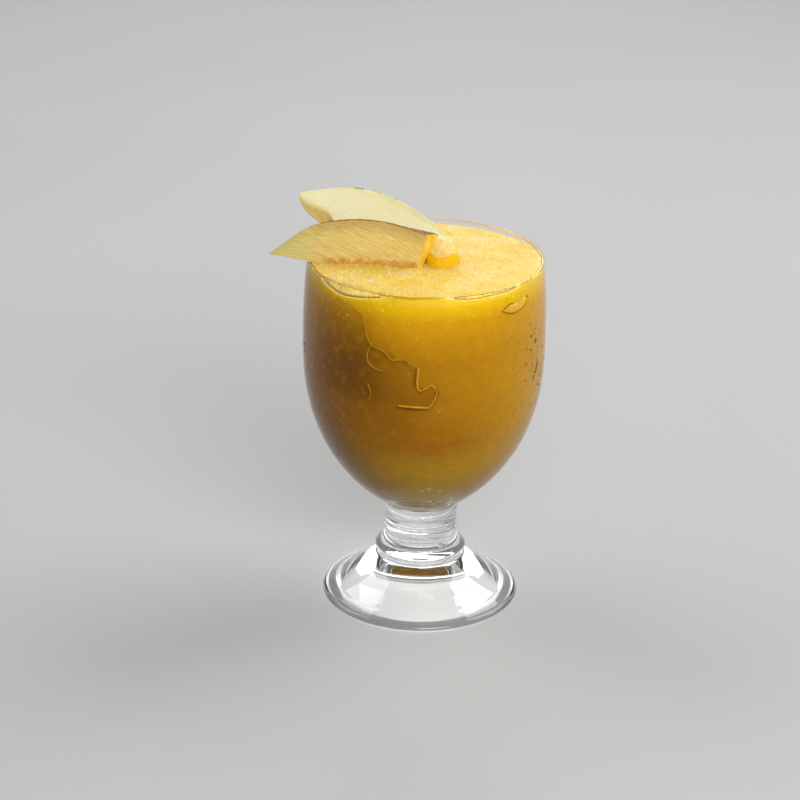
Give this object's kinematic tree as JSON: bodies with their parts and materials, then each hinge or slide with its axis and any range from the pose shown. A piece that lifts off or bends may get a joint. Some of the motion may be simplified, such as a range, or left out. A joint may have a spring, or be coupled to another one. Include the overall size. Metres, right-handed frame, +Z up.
{
  "type": "fruit granita in a stemmed glass",
  "caption": "Mango granita filled to the rim of a short-stemmed goblet, with mango slices resting on the rim and dug into the ice.",
  "frame": {"origin": "bottom centre of the whole part's box, on the surface the glass stands on; the slices overhang on the -X side, so the glass axis stands 6 mm to +X", "axes": "+Z up along the glass axis, -Y towards the side that shows the front slice's cut face, the slices overhang towards -X"},
  "size_m": [0.1036, 0.0916, 0.1616],
  "materials": {
    "glass": "clear pressed glass, fire-polished lip, wet outside",
    "granita": "wet fine crushed ice, frosted pale on top, translucent yellow-orange below",
    "mango_flesh": "moist cut fruit with fine fibres running along the slice",
    "mango_flesh_pale": "moist pale cut fruit, greenish under the skin",
    "mango_skin": "thin smooth skin, reddish brown to green",
    "water": "drops and a thin wet film of condensation"
  },
  "bodies": {
    "root": {"glass": "glass", "granita": "granita", "mango_slice_front": "mango_flesh", "mango_slice_back": "mango_flesh_pale"}
  },
  "joints": []
}
